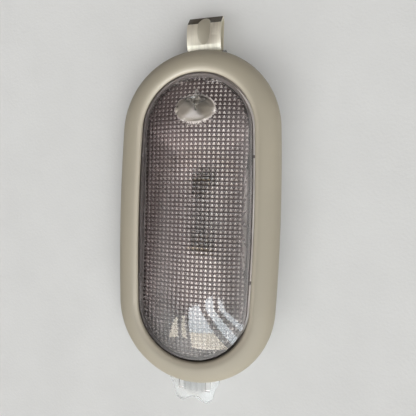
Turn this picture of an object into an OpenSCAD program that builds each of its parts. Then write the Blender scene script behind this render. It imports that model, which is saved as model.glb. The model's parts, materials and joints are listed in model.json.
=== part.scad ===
// Car roof dome light: an oval moulded bezel round a crowned clear lens that is pressed to switch.
// A clear carrier behind it holds the reflector, the festoon bulb, the contacts and the switch.
// A tongue at one end and a sprung steel clip at the other hold the light in the headliner.
// The origin is the middle of the bezel's rear rim, which seats on the headliner. +Z looks out of
// the lens and +Y points to the clip.

/* [Bezel] */
// Length of the bezel
bezel_length = 164; // [150:0.2:180]
// Width of the bezel at its middle
bezel_width = 82; // [78:0.2:88]
// How far the bowed sides swell past the round ends
side_swell = 1; // [0.5:0.1:4]
// Height of the bezel's crest above its rear rim
bezel_h = 7.5; // [6.5:0.1:9]
// Height of the upright outer edge
bezel_edge_h = 1.4; // [0.8:0.1:2]
// Width of the band, from the outer edge to the opening
band_w = 11.9; // [11:0.1:14]
// Wall of the bezel moulding
bezel_wall = 2; // [1.6:0.1:2.4]
// Thickness of the collar round the opening
collar_t = 1.6; // [1.2:0.1:2]
// Depth of the collar below the rear rim
collar_depth = 2.6; // [2:0.1:4]
// Radius of the rounded lip at the opening
lip_r = 1.4; // [0.6:0.1:1.8]
// Fall of the bezel's face from its crest to the lip
lip_fall = 0.5; // [0.2:0.05:0.8]

/* [Lens] */
// Gap between the lens and the opening
lens_gap = 1.2; // [0.6:0.1:1.5]
// Height of the lens crown above the rear rim
lens_crown_z = 11.3; // [10:0.1:13]
// Radius of the crown
crown_r = 81; // [70:1:120]
// Wall of the lens
lens_wall = 2; // [1.6:0.1:2.6]
// Lower edge of the lens skirt above the rear rim
skirt_z = 1.5; // [1:0.1:3]
// Wall of the lens skirt
skirt_wall = 1.6; // [1.2:0.1:2]
// Length of the finger recess, across the lens
recess_w = 18.9; // [15:0.1:24]
// Height of the finger recess, along the lens
recess_h = 12.5; // [10:0.1:15]
// Depth of the finger recess
recess_depth = 1.7; // [1:0.1:2.2]
// Pitch of the pillow optics across the lens
pillow_x = 2.14; // [2:0.02:4]
// Pitch of the pillow optics along the lens
pillow_y = 2.06; // [2:0.02:4]
// Depth of each pillow
pillow_depth = 0.5; // [0.2:0.05:0.7]
// Width of the smooth border round the pillows
smooth_border = 1.9; // [1.5:0.1:5]
// Distance of the finger recess from the bezel's clip end
recess_in = 30.4; // [28:0.1:36]
// Distance of the skirt's guide ribs from the middle
guide_rib_y = 29.8; // [20:0.1:40]
// Width of a guide rib
guide_rib_w = 0.8; // [0.6:0.1:1.2]
// Height of a guide rib
guide_rib_h = 4.4; // [3:0.1:5]
// Clearance between a guide rib and the opening
guide_rib_gap = 0.35; // [0.3:0.05:0.5]

/* [Rocking] */
// Distance of the hinge line from the bezel's tongue end
hinge_in = 24; // [22:0.5:30]
// Height of the hinge line above the rear rim
hinge_z = 0.5; // [0:0.1:2]
// Diameter of the trunnions
trunnion_d = 3; // [2.6:0.1:3.6]
// Length of the trunnions
trunnion_len = 2.6; // [2:0.1:3]
// Distance of the hinge lugs from the middle
lug_x = 9; // [7:0.5:10]
// Thickness of a hinge lug
lug_t = 2; // [1.6:0.1:2.4]
// Running clearance of the hinge
hinge_gap = 0.15; // [0.1:0.01:0.25]
// Diameter of the post that pushes the switch
post_d = 5; // [4:0.1:6]

/* [Carrier] */
// Depth of the carrier behind the rear rim
carrier_depth = 16; // [15:0.1:20]
// Wall of the carrier
carrier_wall = 1.8; // [1.4:0.1:2.2]
// Height to which the carrier wall rises inside the bezel
carrier_top_z = 3.4; // [2.6:0.1:3.8]
// Clearance between the collar and the carrier wall
spigot_gap = 0.2; // [0.1:0.05:0.4]
// Number of snap noses on each long side
side_snaps = 2; // [1:1:4]
// Width of a snap nose
snap_w = 7; // [5:0.5:9]

/* [Tongue] */
// Length of the locating tongue past the bezel
tongue_reach = 12.6; // [9:0.1:16]
// Width of the tongue at its two lobes
tongue_w = 20.6; // [18:0.1:26]
// Width of the tongue at its shoulders
shoulder_w = 25.8; // [24:0.1:34]
// Depth of the tongue's upper face behind the rear rim
tongue_z = 3; // [2.9:0.1:5]
// Thickness of the tongue
tongue_t = 1.8; // [1.4:0.1:2.4]
// Width of the two slots in the tongue
slot_w = 2.7; // [2:0.1:3.4]

/* [Clip] */
// Width of the retaining clip
clip_w = 17.5; // [14:0.1:20]
// Thickness of the clip's steel
clip_t = 0.8; // [0.6:0.05:1]
// Length of the clip past the bezel
clip_reach = 20; // [17:0.1:24]
// Depth of the clip's top behind the rear rim
clip_z = 2.3; // [2.3:0.1:4]
// Width of the swage that stiffens the bend
swage_w = 7.1; // [5:0.1:8]

/* [Reflector] */
// Thickness of the reflector sheet
reflector_t = 0.8; // [0.6:0.1:1.2]
// Depth of the reflector's rim behind the rear rim
reflector_z = 3; // [2.8:0.1:3.6]
// Depth of the dish below the reflector's rim
dish_depth = 7.6; // [5:0.1:8]
// Half width of the dish at its mouth
dish_r = 24; // [20:0.5:25]
// Slope of the dish wall, as run
dish_run = 4; // [2:0.5:6]

/* [Bulb] */
// Length of the festoon bulb over its tips
bulb_len = 36; // [31:0.5:40]
// Diameter of the bulb's glass
glass_d = 10.4; // [8:0.1:11]
// Diameter of the metal caps
cap_d = 8.4; // [7:0.1:8.8]
// Place of the bulb from the middle of the light
bulb_y = 2; // [-4:0.5:4]
// Depth of the bulb's axis behind the rear rim
bulb_z = 4; // [3.4:0.1:4.6]

/* [Switch] */
// Distance of the plunger from the bezel's clip end
plunger_in = 26; // [24:0.5:28]
// Diameter of the plunger
plunger_d = 5; // [4:0.1:5.6]
// Travel of the plunger
plunger_travel = 3; // [2:0.1:3.2]
// Width of the switch housing
switch_w = 24; // [22:0.5:26]
// Length of the switch housing
switch_len = 24; // [23:0.5:25]
// Width of the connector socket
socket_w = 15; // [12:0.5:16]
// Height of the connector socket
socket_h = 8; // [7:0.5:9]
// Depth of the connector socket
socket_depth = 8.6; // [7:0.1:9]

/* [Hidden] */
$fn = 96;
EPS = 0.01;

half_w = bezel_width / 2;
half_l = bezel_length / 2;
recess_y = half_l - recess_in;
plunger_y = half_l - plunger_in;
hinge_y = half_l - hinge_in;
// The outline is an oval of four arcs: two round ends and two long bowed sides that meet them
// without a corner. The sides' radius and centres follow from that.
end_r = half_w - side_swell;
end_y = half_l - end_r;
side_x = (end_y * end_y - side_swell * side_swell) / (2 * side_swell);
side_r = half_w + side_x;
side_bow = atan(end_y / side_x);
join_lap = 0.3;
join_step = 0.03;

lens_u = band_w + lens_gap;
collar_u = band_w - collar_t;
carrier_in_u = collar_u - spigot_gap;
carrier_out_u = carrier_in_u - carrier_wall;
lens_inner_r = crown_r - lens_wall;
crown_axis_z = lens_crown_z - crown_r;

function crown_z(x, y, r) =
    let (dy = max(abs(y) - end_y, 0))
    crown_axis_z + sqrt(r * r - x * x - dy * dy);

// Plan of the oval, u inward from the bezel's outline
module oval(u) {
    joint_y = side_r * sin(side_bow);
    intersection() {
        translate([side_x, 0]) circle(r = side_r - u, $fn = 720);
        translate([-side_x, 0]) circle(r = side_r - u, $fn = 720);
        square([2 * half_w, 2 * joint_y], center = true);
    }
    for (s = [-1, 1]) translate([0, s * end_y]) circle(r = end_r - u);
}

// Half width of the oval at a distance along it, on its bowed sides
function side_at(u, y) = sqrt((side_r - u) * (side_r - u) - y * y) - side_x;

// Upright solid with the oval's plan, between two heights
module oval_block(u, z0, z1) {
    translate([0, 0, z0]) linear_extrude(z1 - z0) oval(u);
}

// Sweeps a section round the oval. The section's x is the distance inward from the outline.
// The side sweeps run a little way into the end sweeps and sit back a hair there, so that the
// solids overlap and no two of their faces coincide.
module oval_sweep() {
    joint = [0.1 * side_x, 1.1 * end_y];
    reach = ceil(side_bow) + 1;
    for (turn = [0, 180]) rotate(turn) intersection() {
        translate([0, end_y]) rotate_extrude() translate([end_r, 0]) mirror([1, 0]) children();
        translate([0, 0, -half_w]) linear_extrude(bezel_width) polygon([[0, end_y], joint,
            [joint[0], bezel_length], [-joint[0], bezel_length], [-joint[0], joint[1]]]);
    }
    for (turn = [0, 180]) rotate(turn) intersection() {
        translate([-side_x, 0]) rotate_extrude(angle = 2 * reach, start = -reach, $fn = 1440)
            translate([side_r - join_step, 0]) mirror([1, 0]) children();
        translate([0, 0, -half_w]) linear_extrude(bezel_width)
            polygon([[0, end_y + join_lap], joint + [0, join_lap], [joint[0], -joint[1] - join_lap],
                [0, -end_y - join_lap]]);
    }
}

// Cylinder that lies along Y, from y0 to y1
module rod_y(d, y0, y1, x = 0, z = 0) {
    translate([x, y1, z]) rotate([90, 0, 0]) cylinder(d = d, h = y1 - y0);
}

// Block given by its middle in X, and its ends in Y and Z
module block(x, w, y0, y1, z0, z1) {
    translate([x - w / 2, y0, z0]) cube([w, y1 - y0, z1 - z0]);
}

// Bezel
crest_u = band_w - 2.4;
bezel_steps = 9;
function bezel_skin(t) = [for (k = [0 : bezel_steps])
    let (a = 90 * k / bezel_steps)
    [crest_u - (crest_u - t) * cos(a), bezel_edge_h + (bezel_h - t - bezel_edge_h) * sin(a)]];
function bezel_lip() = [for (k = [1 : 6])
    let (a = 90 - 15 * k)
    [band_w - lip_r + lip_r * cos(a), bezel_h - lip_fall - lip_r + lip_r * sin(a)]];

module bezel_section() {
    outer = bezel_skin(0);
    inner = bezel_skin(bezel_wall);
    polygon(concat(
        [[0, 0]], outer, bezel_lip(),
        [[band_w, -collar_depth], [collar_u, -collar_depth], [collar_u, bezel_h - bezel_wall]],
        [for (k = [bezel_steps : -1 : 0]) inner[k]],
        [[bezel_wall, 0]]));
}

// Places of the snap noses that join the bezel to the carrier: [x, y, turn]
snap_y = end_y * 0.62;
side_snap_ys = [for (k = [0 : side_snaps - 1]) -snap_y + 2 * snap_y * (k + 0.5) / side_snaps];
end_snap_a = 52;
snap_z0 = -collar_depth + 0.4;
snap_h = 1.8;
nose_out = 1.1;
module at_snaps() {
    for (s = [0, 180], y = side_snap_ys)
        rotate(s) translate([side_r * cos(asin(y / side_r)) - side_x - collar_u, y]) children();
    for (s = [0, 180], a = [end_snap_a, 180 - end_snap_a])
        rotate(s) translate([0, end_y]) rotate(a) translate([end_r - collar_u, 0]) children();
}
module snap_nose() {
    translate([-collar_t / 2, snap_w / 2, snap_z0]) rotate([90, 0, 0]) linear_extrude(snap_w)
        polygon([[0, 0], [collar_t / 2, 0], [collar_t / 2 + nose_out, snap_h], [0, snap_h]]);
}

module bezel() {
    color("#a9a294") {
        oval_sweep() bezel_section();
        at_snaps() snap_nose();
    }
}

// Lens
module crown_solid(r) {
    translate([0, 0, crown_axis_z]) {
        rod_y(2 * r, -end_y, end_y);
        for (s = [-1, 1]) translate([0, s * end_y, 0]) sphere(r = r, $fn = 360);
    }
}
module crown_cap(u, r, z0) {
    intersection() {
        crown_solid(r);
        oval_block(u, z0, lens_crown_z + 1);
    }
}

recess_z = crown_z(0, recess_y, crown_r);
recess_mid_r = (recess_h * recess_h / 4 + recess_depth * recess_depth) / (2 * recess_depth);
recess_long_r = (recess_w * recess_w / 4 + recess_depth * recess_depth) / (2 * recess_depth);
recess_tilt = asin((recess_y - end_y) / crown_r);
// Barrel that lies across the lens and dips into its face
module recess_barrel(grow) {
    translate([0, recess_y, recess_z]) rotate([-recess_tilt, 0, 0])
        translate([0, 0, recess_mid_r - recess_depth]) rotate([0, 90, 0]) rotate_extrude()
        intersection() {
            translate([recess_mid_r - recess_long_r, 0]) circle(r = recess_long_r + grow);
            translate([0, -recess_w]) square([2 * recess_long_r, 2 * recess_w]);
        }
}

// Wall under the recess, which bulges inward as the recess dips
recess_wall = 0.85 * lens_wall;
module recess_bulge() {
    intersection() {
        recess_barrel(recess_wall);
        crown_cap(lens_u + skirt_wall, lens_inner_r + 0.4 * lens_wall, skirt_z);
    }
}

// Pillow optics: a sheet of four-sided pillows under the crown, rooted in its wall. The grid sits
// half a pillow off the middle, and stops at a smooth border and at the recess.
pillow_root = 0.5 * lens_wall;
pillow_web = 0.08;
pillow_reach = end_r - lens_u - smooth_border - 0.3 * pillow_x;
pillow_nx = 2 * floor(pillow_reach / pillow_x) + 1;
pillow_ny = 2 * floor((end_y + pillow_reach) / pillow_y) + 1;
function pillow_at(i, j) = [(i - pillow_nx / 2 - 0.5) * pillow_x, (j - pillow_ny / 2) * pillow_y];
function pillow_mid(i, j) = pillow_at(i + 0.5, j + 0.5);
function pillow_kept(i, j) =
    let (p = pillow_mid(i, j),
        far = norm([p[0] + pillow_x / 2, max(abs(p[1]) - end_y, 0)]),
        recess = norm([p[0] / (recess_w / 2 + pillow_x / 4),
            (p[1] - recess_y) / (recess_h / 2 + pillow_y / 3)]))
    i >= 0 && i < pillow_nx && j >= 0 && j < pillow_ny && far <= pillow_reach && recess > 1;
function on_crown(p, up) = [p[0], p[1], crown_z(p[0], p[1], lens_inner_r) + up];
module pillows() {
    stride = pillow_nx + 1;
    corners = [for (j = [0 : pillow_ny], i = [0 : pillow_nx]) pillow_at(i, j)];
    count = len(corners);
    cells = [for (j = [0 : pillow_ny - 1], i = [0 : pillow_nx - 1]) if (pillow_kept(i, j)) [i, j]];
    points = concat(
        [for (p = corners) on_crown(p, -pillow_web)],
        [for (p = corners) on_crown(p, pillow_root)],
        [for (c = cells) on_crown(pillow_mid(c[0], c[1]), -pillow_depth)]);
    faces = [for (k = [0 : len(cells) - 1])
        let (i = cells[k][0], j = cells[k][1], a = j * stride + i, b = a + 1,
            c = b + stride, d = a + stride, tip = 2 * count + k)
        each concat(
            [[a, b, tip], [b, c, tip], [c, d, tip], [d, a, tip]],
            [[a + count, d + count, c + count], [a + count, c + count, b + count]],
            pillow_kept(i, j - 1) ? [] : [[a, a + count, b + count], [a, b + count, b]],
            pillow_kept(i + 1, j) ? [] : [[b, b + count, c + count], [b, c + count, c]],
            pillow_kept(i, j + 1) ? [] : [[c, c + count, d + count], [c, d + count, d]],
            pillow_kept(i - 1, j) ? [] : [[d, d + count, a + count], [d, a + count, a]])];
    polyhedron(points, faces);
}

guide_rib_out = lens_gap - guide_rib_gap;
lug_r = trunnion_d / 2 + 2;
module hinge_lug(side) {
    z_top = crown_z(lug_x, hinge_y, lens_inner_r) + lens_wall / 2;
    translate([side * lug_x - lug_t / 2, -hinge_y, 0]) rotate([90, 0, 90]) linear_extrude(lug_t) {
        translate([0, hinge_z]) circle(r = lug_r);
        translate([-lug_r, hinge_z]) square([2 * lug_r, z_top - hinge_z]);
    }
    translate([side * lug_x, -hinge_y, hinge_z]) rotate([0, side * 90, 0])
        cylinder(d = trunnion_d, h = lug_t / 2 + trunnion_len);
}

post_gap = 0.3;
plunger_top_z = 1.4;
module push_post() {
    z_top = crown_z(0, plunger_y, lens_inner_r) + lens_wall / 2;
    translate([0, plunger_y, plunger_top_z + post_gap])
        cylinder(d = post_d, h = z_top - plunger_top_z - post_gap);
    for (a = [0, 90]) translate([0, plunger_y, 0]) rotate(a)
        block(0, 1.2, -post_d, post_d, plunger_top_z + post_gap + 2, z_top - 1);
}

module lens() {
    color("#d9d6da", 0.45) {
        difference() {
            union() {
                crown_cap(lens_u, crown_r, skirt_z);
                for (s = [-1, 1], y = [-1, 1])
                    block(s * (side_at(lens_u, guide_rib_y) - 0.4), 2 * (guide_rib_out + 0.4),
                        y * guide_rib_y - guide_rib_w / 2, y * guide_rib_y + guide_rib_w / 2,
                        skirt_z, skirt_z + guide_rib_h);
            }
            difference() {
                crown_cap(lens_u + skirt_wall, lens_inner_r, skirt_z - 1);
                recess_bulge();
            }
            recess_barrel(0);
        }
        pillows();
        for (s = [-1, 1]) hinge_lug(s);
        push_post();
    }
}

// Carrier
floor_z = -carrier_depth;
floor_top = floor_z + carrier_wall;
switch_y = plunger_y - 6;
switch_y0 = switch_y - switch_len / 2;
switch_y1 = switch_y + switch_len / 2;
fit_gap = 0.2;
ear_x = switch_w / 2 + 4.2;
ear_z = -8;
ear_t = 2;
screw_d = 2.4;
boss_d = 6;

// Plan of the tongue: stepped shoulders, and a scalloped end of two lobes and an arch that meet
// without a corner. Y runs outward.
lobe_r = 4.1;
arch_in = 2.3;
module tongue_plan() {
    root_y = half_l - carrier_out_u - 1;
    tip_y = half_l + tongue_reach;
    shoulder_y = half_l + 2.2;
    waist_w = tongue_w + 1.4;
    lobe_x = tongue_w / 2 - lobe_r;
    arch_r = (lobe_x * lobe_x + arch_in * arch_in) / (2 * arch_in) - lobe_r;
    meet = lobe_r / (lobe_r + arch_r);
    meet_x = lobe_x * (1 - meet);
    meet_y = tip_y - lobe_r + (arch_r + lobe_r - arch_in) * meet;
    difference() {
        union() {
            translate([-shoulder_w / 2, root_y]) square([shoulder_w, shoulder_y - root_y]);
            polygon([[-shoulder_w / 2, shoulder_y - 0.5], [shoulder_w / 2, shoulder_y - 0.5],
                [shoulder_w / 2, shoulder_y], [waist_w / 2, shoulder_y + 3.2],
                [tongue_w / 2, tip_y - lobe_r], [-tongue_w / 2, tip_y - lobe_r],
                [-waist_w / 2, shoulder_y + 3.2], [-shoulder_w / 2, shoulder_y]]);
            for (s = [-1, 1]) translate([s * lobe_x, tip_y - lobe_r]) circle(r = lobe_r);
            translate([-meet_x, tip_y - 2 * lobe_r]) square([2 * meet_x, meet_y - tip_y + 2 * lobe_r]);
        }
        translate([0, tip_y - arch_in + arch_r]) circle(r = arch_r);
    }
}
module tongue() {
    slot_x = tongue_w / 2 - 1.9 - slot_w / 2;
    root_y = half_l - carrier_out_u - 1;
    rotate(180) translate([0, 0, -tongue_z - tongue_t]) {
        linear_extrude(tongue_t) difference() {
            tongue_plan();
            for (s = [-1, 1]) translate([s * slot_x - slot_w / 2, half_l + 0.5]) square([slot_w, 6.4]);
        }
        for (x = [-4.6, -1.6, 1.6, 4.6])
            block(x, 0.9, root_y, half_l + tongue_reach - 6, tongue_t - EPS, tongue_t + 0.7);
    }
}

clip_pad_y = half_l - carrier_out_u + 2.2;
cheek_gap = 0.4;
cheek_t = 2.4;
module clip_pad() {
    wall_y = half_l - carrier_out_u - carrier_wall - 4;
    cheek_w = clip_w + 2 * (cheek_gap + cheek_t);
    difference() {
        union() {
            block(0, cheek_w, wall_y, clip_pad_y, floor_z, -4.5);
            for (s = [-1, 1]) block(s * (cheek_w - cheek_t) / 2, cheek_t, wall_y,
                half_l + 1.6, floor_z + 2.5, -4.2);
        }
        oval_block(carrier_in_u, floor_z - 1, 0);
    }
}

// Snap bearing for a trunnion, open upward through a slot narrower than the trunnion
bearing_x = lug_x + lug_t / 2 + 0.4;
bearing_t = 4;
module bearing() {
    bore = trunnion_d + 2 * hinge_gap;
    w = bore + 3.6;
    difference() {
        block(bearing_x + bearing_t / 2, bearing_t, -hinge_y - w / 2, -hinge_y + w / 2,
            floor_z + EPS, hinge_z + bore / 2 + 0.7);
        translate([bearing_x - 1, -hinge_y, hinge_z]) rotate([0, 90, 0])
            cylinder(d = bore, h = bearing_t + 2);
        block(bearing_x + bearing_t / 2, bearing_t + 2, -hinge_y - trunnion_d / 2 + 0.3,
            -hinge_y + trunnion_d / 2 - 0.3, hinge_z, hinge_z + bore + 1);
    }
}

// Posts that hold the reflector's rim
rest_w = 3;
rest_y = end_y * 0.62;
module reflector_rests() {
    for (s = [0, 180], y = [-rest_y, 0, rest_y])
        rotate(s) block(half_w - carrier_in_u - rest_w / 2 - 0.2, rest_w + 1.4, y - 0.8, y + 0.8,
            floor_z + EPS, -reflector_z - reflector_t);
    for (s = [0, 180], a = [35, 145])
        rotate(s) translate([0, end_y]) rotate(a)
            block(end_r - carrier_in_u - rest_w / 2 - 0.2, rest_w + 1.4, -0.8, 0.8,
                floor_z + EPS, -reflector_z - reflector_t);
}

module carrier() {
    color("#dfe4e2", 0.5) {
        difference() {
            union() {
                difference() {
                    oval_block(carrier_out_u, floor_z, carrier_top_z);
                    oval_block(carrier_in_u, floor_top, carrier_top_z + 1);
                }
                clip_pad();
                reflector_rests();
                for (s = [-1, 1]) translate([s * ear_x, switch_y, floor_z + EPS])
                    cylinder(d = boss_d, h = ear_z - floor_z - EPS);
            }
            block(0, switch_w + 2 * fit_gap, switch_y0 - fit_gap, switch_y1 + fit_gap,
                floor_z - 1, floor_top + 1);
            for (s = [-1, 1]) translate([s * ear_x, switch_y, floor_top])
                cylinder(d = screw_d - 0.4, h = carrier_depth);
            for (x = rivet_xs) rod_y(rivet_d, clip_pad_y - rivet_len, clip_pad_y + 1, x, rivet_z);
            at_snaps() translate([-1, -snap_w / 2 - fit_gap, snap_z0 - fit_gap])
                cube([nose_out + carrier_wall + 2, snap_w + 2 * fit_gap, snap_h + 2 * fit_gap]);
        }
        bearing();
        mirror([1, 0, 0]) bearing();
        tongue();
    }
}

// Retaining clip: a hairpin of steel strip, riveted to the carrier by its lower leg. Its arched
// leaf presses on the headliner, its lip turns down at a crease, and a swage stiffens the crease.
rivet_d = 2.4;
rivet_head_d = 3.8;
rivet_len = 4.4;
rivet_xs = [-5.2, 5.2];
rivet_z = floor_z + 2.7;
nose_y = half_l + clip_reach;
foot_r = 1.6;
leg_z = -9.6;
nose_r = 1.6;
leaf_r = 15;
crease_y = nose_y - 4.7;
leaf_y = crease_y - 4.9;
leaf_z = -clip_z - clip_t / 2 - leaf_r;
crease_a = acos((crease_y - leaf_y) / leaf_r);
free_a = 122;
lip_a = 51;
function arc_pts(cy, cz, r, a0, a1, n) = [for (k = [0 : n])
    let (a = a0 + (a1 - a0) * k / n) [cy + r * cos(a), cz + r * sin(a)]];
function leaf_line() = arc_pts(leaf_y, leaf_z, leaf_r, crease_a, free_a, 14);
function nose_line() = arc_pts(nose_y - nose_r, leg_z + nose_r, nose_r, -90, lip_a, 7);
// Middle line of the strip in the YZ plane, from the riveted foot to the free end
function clip_line() = concat(
    [[clip_pad_y + clip_t / 2, floor_z + 0.6]],
    arc_pts(clip_pad_y + clip_t / 2 + foot_r, leg_z - foot_r, foot_r, 180, 90, 4),
    nose_line(),
    leaf_line());
function unit(v) = v / norm(v);
function left_of(v) = [-v[1], v[0]];
function side_line(p, d) = [for (k = [0 : len(p) - 1])
    let (a = unit(p[min(k + 1, len(p) - 1)] - p[k] + (k == len(p) - 1 ? p[k] - p[k - 1] : [0, 0])),
        b = unit(k == 0 ? p[1] - p[0] : p[k] - p[k - 1]),
        m = unit(a + b))
    p[k] + left_of(m) * d / (m * b)];
module across(w) {
    rotate([90, 0, 90]) translate([0, 0, -w / 2]) linear_extrude(w) children();
}
module clip_strip() {
    p = clip_line();
    far = side_line(p, -clip_t / 2);
    across(clip_w) polygon(concat(side_line(p, clip_t / 2), [for (k = [len(p) - 1 : -1 : 0]) far[k]]));
}

// The swage is a tilted trough that starts in the leaf and runs out at the nose
swage_y = leaf_y - 5.4;
swage_fall = 11.5;
module swage_rod(r) {
    start_z = leaf_z + sqrt(pow(leaf_r + clip_t / 2, 2) - pow(swage_y - leaf_y, 2));
    translate([0, swage_y, start_z]) rotate([-swage_fall, 0, 0]) translate([0, 0, swage_w / 2])
        rod_y(2 * r, -2, clip_reach + 4);
}

module retaining_clip() {
    color("#b9b29c") difference() {
        union() {
            clip_strip();
            intersection() {
                swage_rod(swage_w / 2 + clip_t);
                across(swage_w + 2 * clip_t) polygon(concat([nose_line()[7]], leaf_line()));
            }
        }
        swage_rod(swage_w / 2);
        for (x = rivet_xs) rod_y(rivet_d, clip_pad_y - 1, clip_pad_y + clip_t + 1, x, rivet_z);
    }
}

module clip_rivets() {
    color("#9b968c") for (x = rivet_xs) {
        rod_y(rivet_d, clip_pad_y - rivet_len, clip_pad_y + clip_t, x, rivet_z);
        rod_y(rivet_head_d, clip_pad_y + clip_t, clip_pad_y + clip_t + 0.9, x, rivet_z);
    }
}

// Reflector: a pressed sheet with a long dish and a flat deck over the switch
dish_y0 = -40;
dish_y1 = 12;
module dish(r, run, z0, z1) {
    h = z1 - z0;
    translate([0, dish_y1, z0]) rotate([90, 0, 0]) linear_extrude(dish_y1 - dish_y0)
        polygon([[-r, h], [r, h], [r - run, 0], [run - r, 0]]);
    for (y = [dish_y0, dish_y1]) translate([0, y, z0]) cylinder(r1 = r - run, r2 = r, h = h);
}
reflector_top = -reflector_z;
reflector_u = carrier_in_u + 0.3;
contact_gap = 0.4;
contact_w = 8;
contact_t = 0.6;
upper_tip_y = bulb_y + bulb_len / 2;
lower_tip_y = bulb_y - bulb_len / 2;
module reflector() {
    color("#b7b6b4") difference() {
        union() {
            oval_block(reflector_u, reflector_top - reflector_t, reflector_top);
            dish(dish_r, dish_run, reflector_top - dish_depth - reflector_t, reflector_top - reflector_t / 2);
        }
        dish(dish_r - reflector_t, dish_run, reflector_top - dish_depth, reflector_top + EPS);
        for (s = [-1, 1]) block(s * (bearing_x + bearing_t / 2 - 0.7), bearing_t + 4.6, -hinge_y - 5.2,
            -hinge_y + 5.2, reflector_top - dish_depth - 2, reflector_top + 1);
        for (y = [upper_tip_y, lower_tip_y]) block(0, contact_w + 2, y - 2.8, y + 2.8,
            reflector_top - dish_depth - 2, reflector_top - dish_depth + 0.1);
        translate([0, plunger_y, reflector_top - 2]) cylinder(d = post_d + 3.4, h = 3);
        for (a = [0, 90]) translate([0, plunger_y, 0]) rotate(a)
            block(0, 2.4, -post_d - 1, post_d + 1, reflector_top - 1, reflector_top + 1);
    }
}

// Festoon bulb
glass_len = 22;
cap_len = 6.4;
tip_d = 3.2;
glass_wall = 0.7;
neck_d = cap_d - 0.6;
module at_bulb() {
    translate([0, bulb_y, -bulb_z]) rotate([-90, 0, 0]) children();
}
glass_shoulder = 2.4;
glass_half = glass_len / 2 + 1.5;
// Half section of the glass, shrunk by its wall for the inside
function glass_side(shrink, end) = let (
        swell = (glass_d - neck_d) / 2,
        neck = neck_d / 2 - shrink,
        barrel = glass_half - 2.5 - glass_shoulder - shrink / 2)
    concat([[0, -end], [neck, -end]],
        [for (k = [0 : 5]) [neck + swell * sin(18 * k), -barrel - glass_shoulder * cos(18 * k)]],
        [for (k = [5 : -1 : 0]) [neck + swell * sin(18 * k), barrel + glass_shoulder * cos(18 * k)]],
        [[neck, end], [0, end]]);
module bulb_glass() {
    color("#e6ebe8", 0.35) at_bulb() rotate_extrude() difference() {
        polygon(glass_side(0, glass_half));
        polygon(glass_side(glass_wall, glass_half + 1));
    }
}
module bulb_filament() {
    color("#6d675f") at_bulb() {
        cylinder(d = 0.6, h = glass_len - 8, center = true);
        for (s = [-1, 1]) translate([0, 0, s * (glass_len / 2 - 1.5) - 2.7]) cylinder(d = 1.2, h = 5.4);
    }
}
module bulb_cap(s) {
    shell = 0.3;
    start = glass_len / 2 - 0.6;
    at_bulb() mirror([0, 0, s > 0 ? 0 : 1]) rotate_extrude() difference() {
        polygon([[0, start], [cap_d / 2, start], [cap_d / 2, start + cap_len - 1.2],
            [cap_d / 2 - 0.8, start + cap_len - 0.4], [tip_d / 2, start + cap_len - 0.2],
            [tip_d / 2 - 0.4, bulb_len / 2], [0, bulb_len / 2]]);
        polygon([[-1, start - 1], [cap_d / 2 - shell, start - 1], [cap_d / 2 - shell, start + 2.2],
            [-1, start + 2.2]]);
    }
}
module bulb_cap_upper() {
    color("#b3aea4") bulb_cap(1);
}
module bulb_cap_lower() {
    color("#b3aea4") bulb_cap(-1);
}

// Contact blades that spring against the bulb's tips, with feet along the carrier floor
module contact_blade(y, dir, run_to) {
    z0 = floor_top;
    z1 = -bulb_z + tip_d / 2 + 2.6;
    inner = y - dir * 0.5;
    difference() {
        union() {
            block(0, contact_w, min(inner, inner + dir * contact_t), max(inner, inner + dir * contact_t), z0, z1);
            translate([0, inner + dir * contact_t / 2, z1]) rotate([90, 0, 0])
                cylinder(d = contact_w, h = contact_t, center = true);
            block(0, contact_w, min(inner, run_to), max(inner, run_to), z0, z0 + contact_t);
        }
        rod_y(tip_d + 0.6, inner - 2, inner + 2, 0, -bulb_z);
        block(0, contact_w + 2, inner - 2, inner + 2, z1 + 1.2, z1 + 6);
    }
}
module contact_supply() {
    color("#b8a36a") contact_blade(upper_tip_y, 1, switch_y0 - fit_gap);
}
// The earth blade's foot turns aside and runs back past the bulb to the switch
foot_len = 7;
track_w = 4;
track_x = contact_w / 2 + 7;
module contact_earth() {
    foot_y = lower_tip_y - foot_len;
    color("#b8a36a") {
        contact_blade(lower_tip_y, -1, foot_y);
        block(track_x / 2, track_x, foot_y, foot_y + track_w, floor_top, floor_top + contact_t);
        block(track_x, track_w, foot_y, switch_y0 - fit_gap, floor_top, floor_top + contact_t);
    }
}

// Switch housing with the connector socket in its underside
switch_top = -reflector_z - reflector_t - 1.4;
cover_t = 1.2;
bore_d = 7.6;
collar_d = 7.2;
socket_y = switch_y0 + 1.6 + socket_h / 2;
module switch_housing() {
    color("#2b2b2d") difference() {
        union() {
            block(0, switch_w, switch_y0, switch_y1, floor_z, switch_top);
            for (s = [-1, 1]) {
                block(s * (ear_x + switch_w / 2) / 2, ear_x - switch_w / 2 + EPS, switch_y - 3, switch_y + 3,
                    ear_z, ear_z + ear_t);
                translate([s * ear_x, switch_y, ear_z]) cylinder(d = boss_d, h = ear_t);
            }
        }
        block(0, socket_w, socket_y - socket_h / 2, socket_y + socket_h / 2, floor_z - 1,
            floor_z + socket_depth);
        translate([0, plunger_y, floor_z + 1.6]) cylinder(d = bore_d, h = carrier_depth);
        for (s = [-1, 1]) translate([s * ear_x, switch_y, ear_z - 1]) cylinder(d = screw_d + 0.4, h = ear_t + 2);
        for (x = terminal_xs) block(x, terminal_w, socket_y - terminal_t / 2, socket_y + terminal_t / 2,
            floor_z + socket_depth - 1, switch_top + 1);
    }
}

module switch_cover() {
    color("#3a3a3c") difference() {
        block(0, switch_w, switch_y0, switch_y1, switch_top, switch_top + cover_t);
        translate([0, plunger_y, switch_top - 1]) cylinder(d = plunger_d + 0.6, h = cover_t + 2);
    }
}

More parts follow.
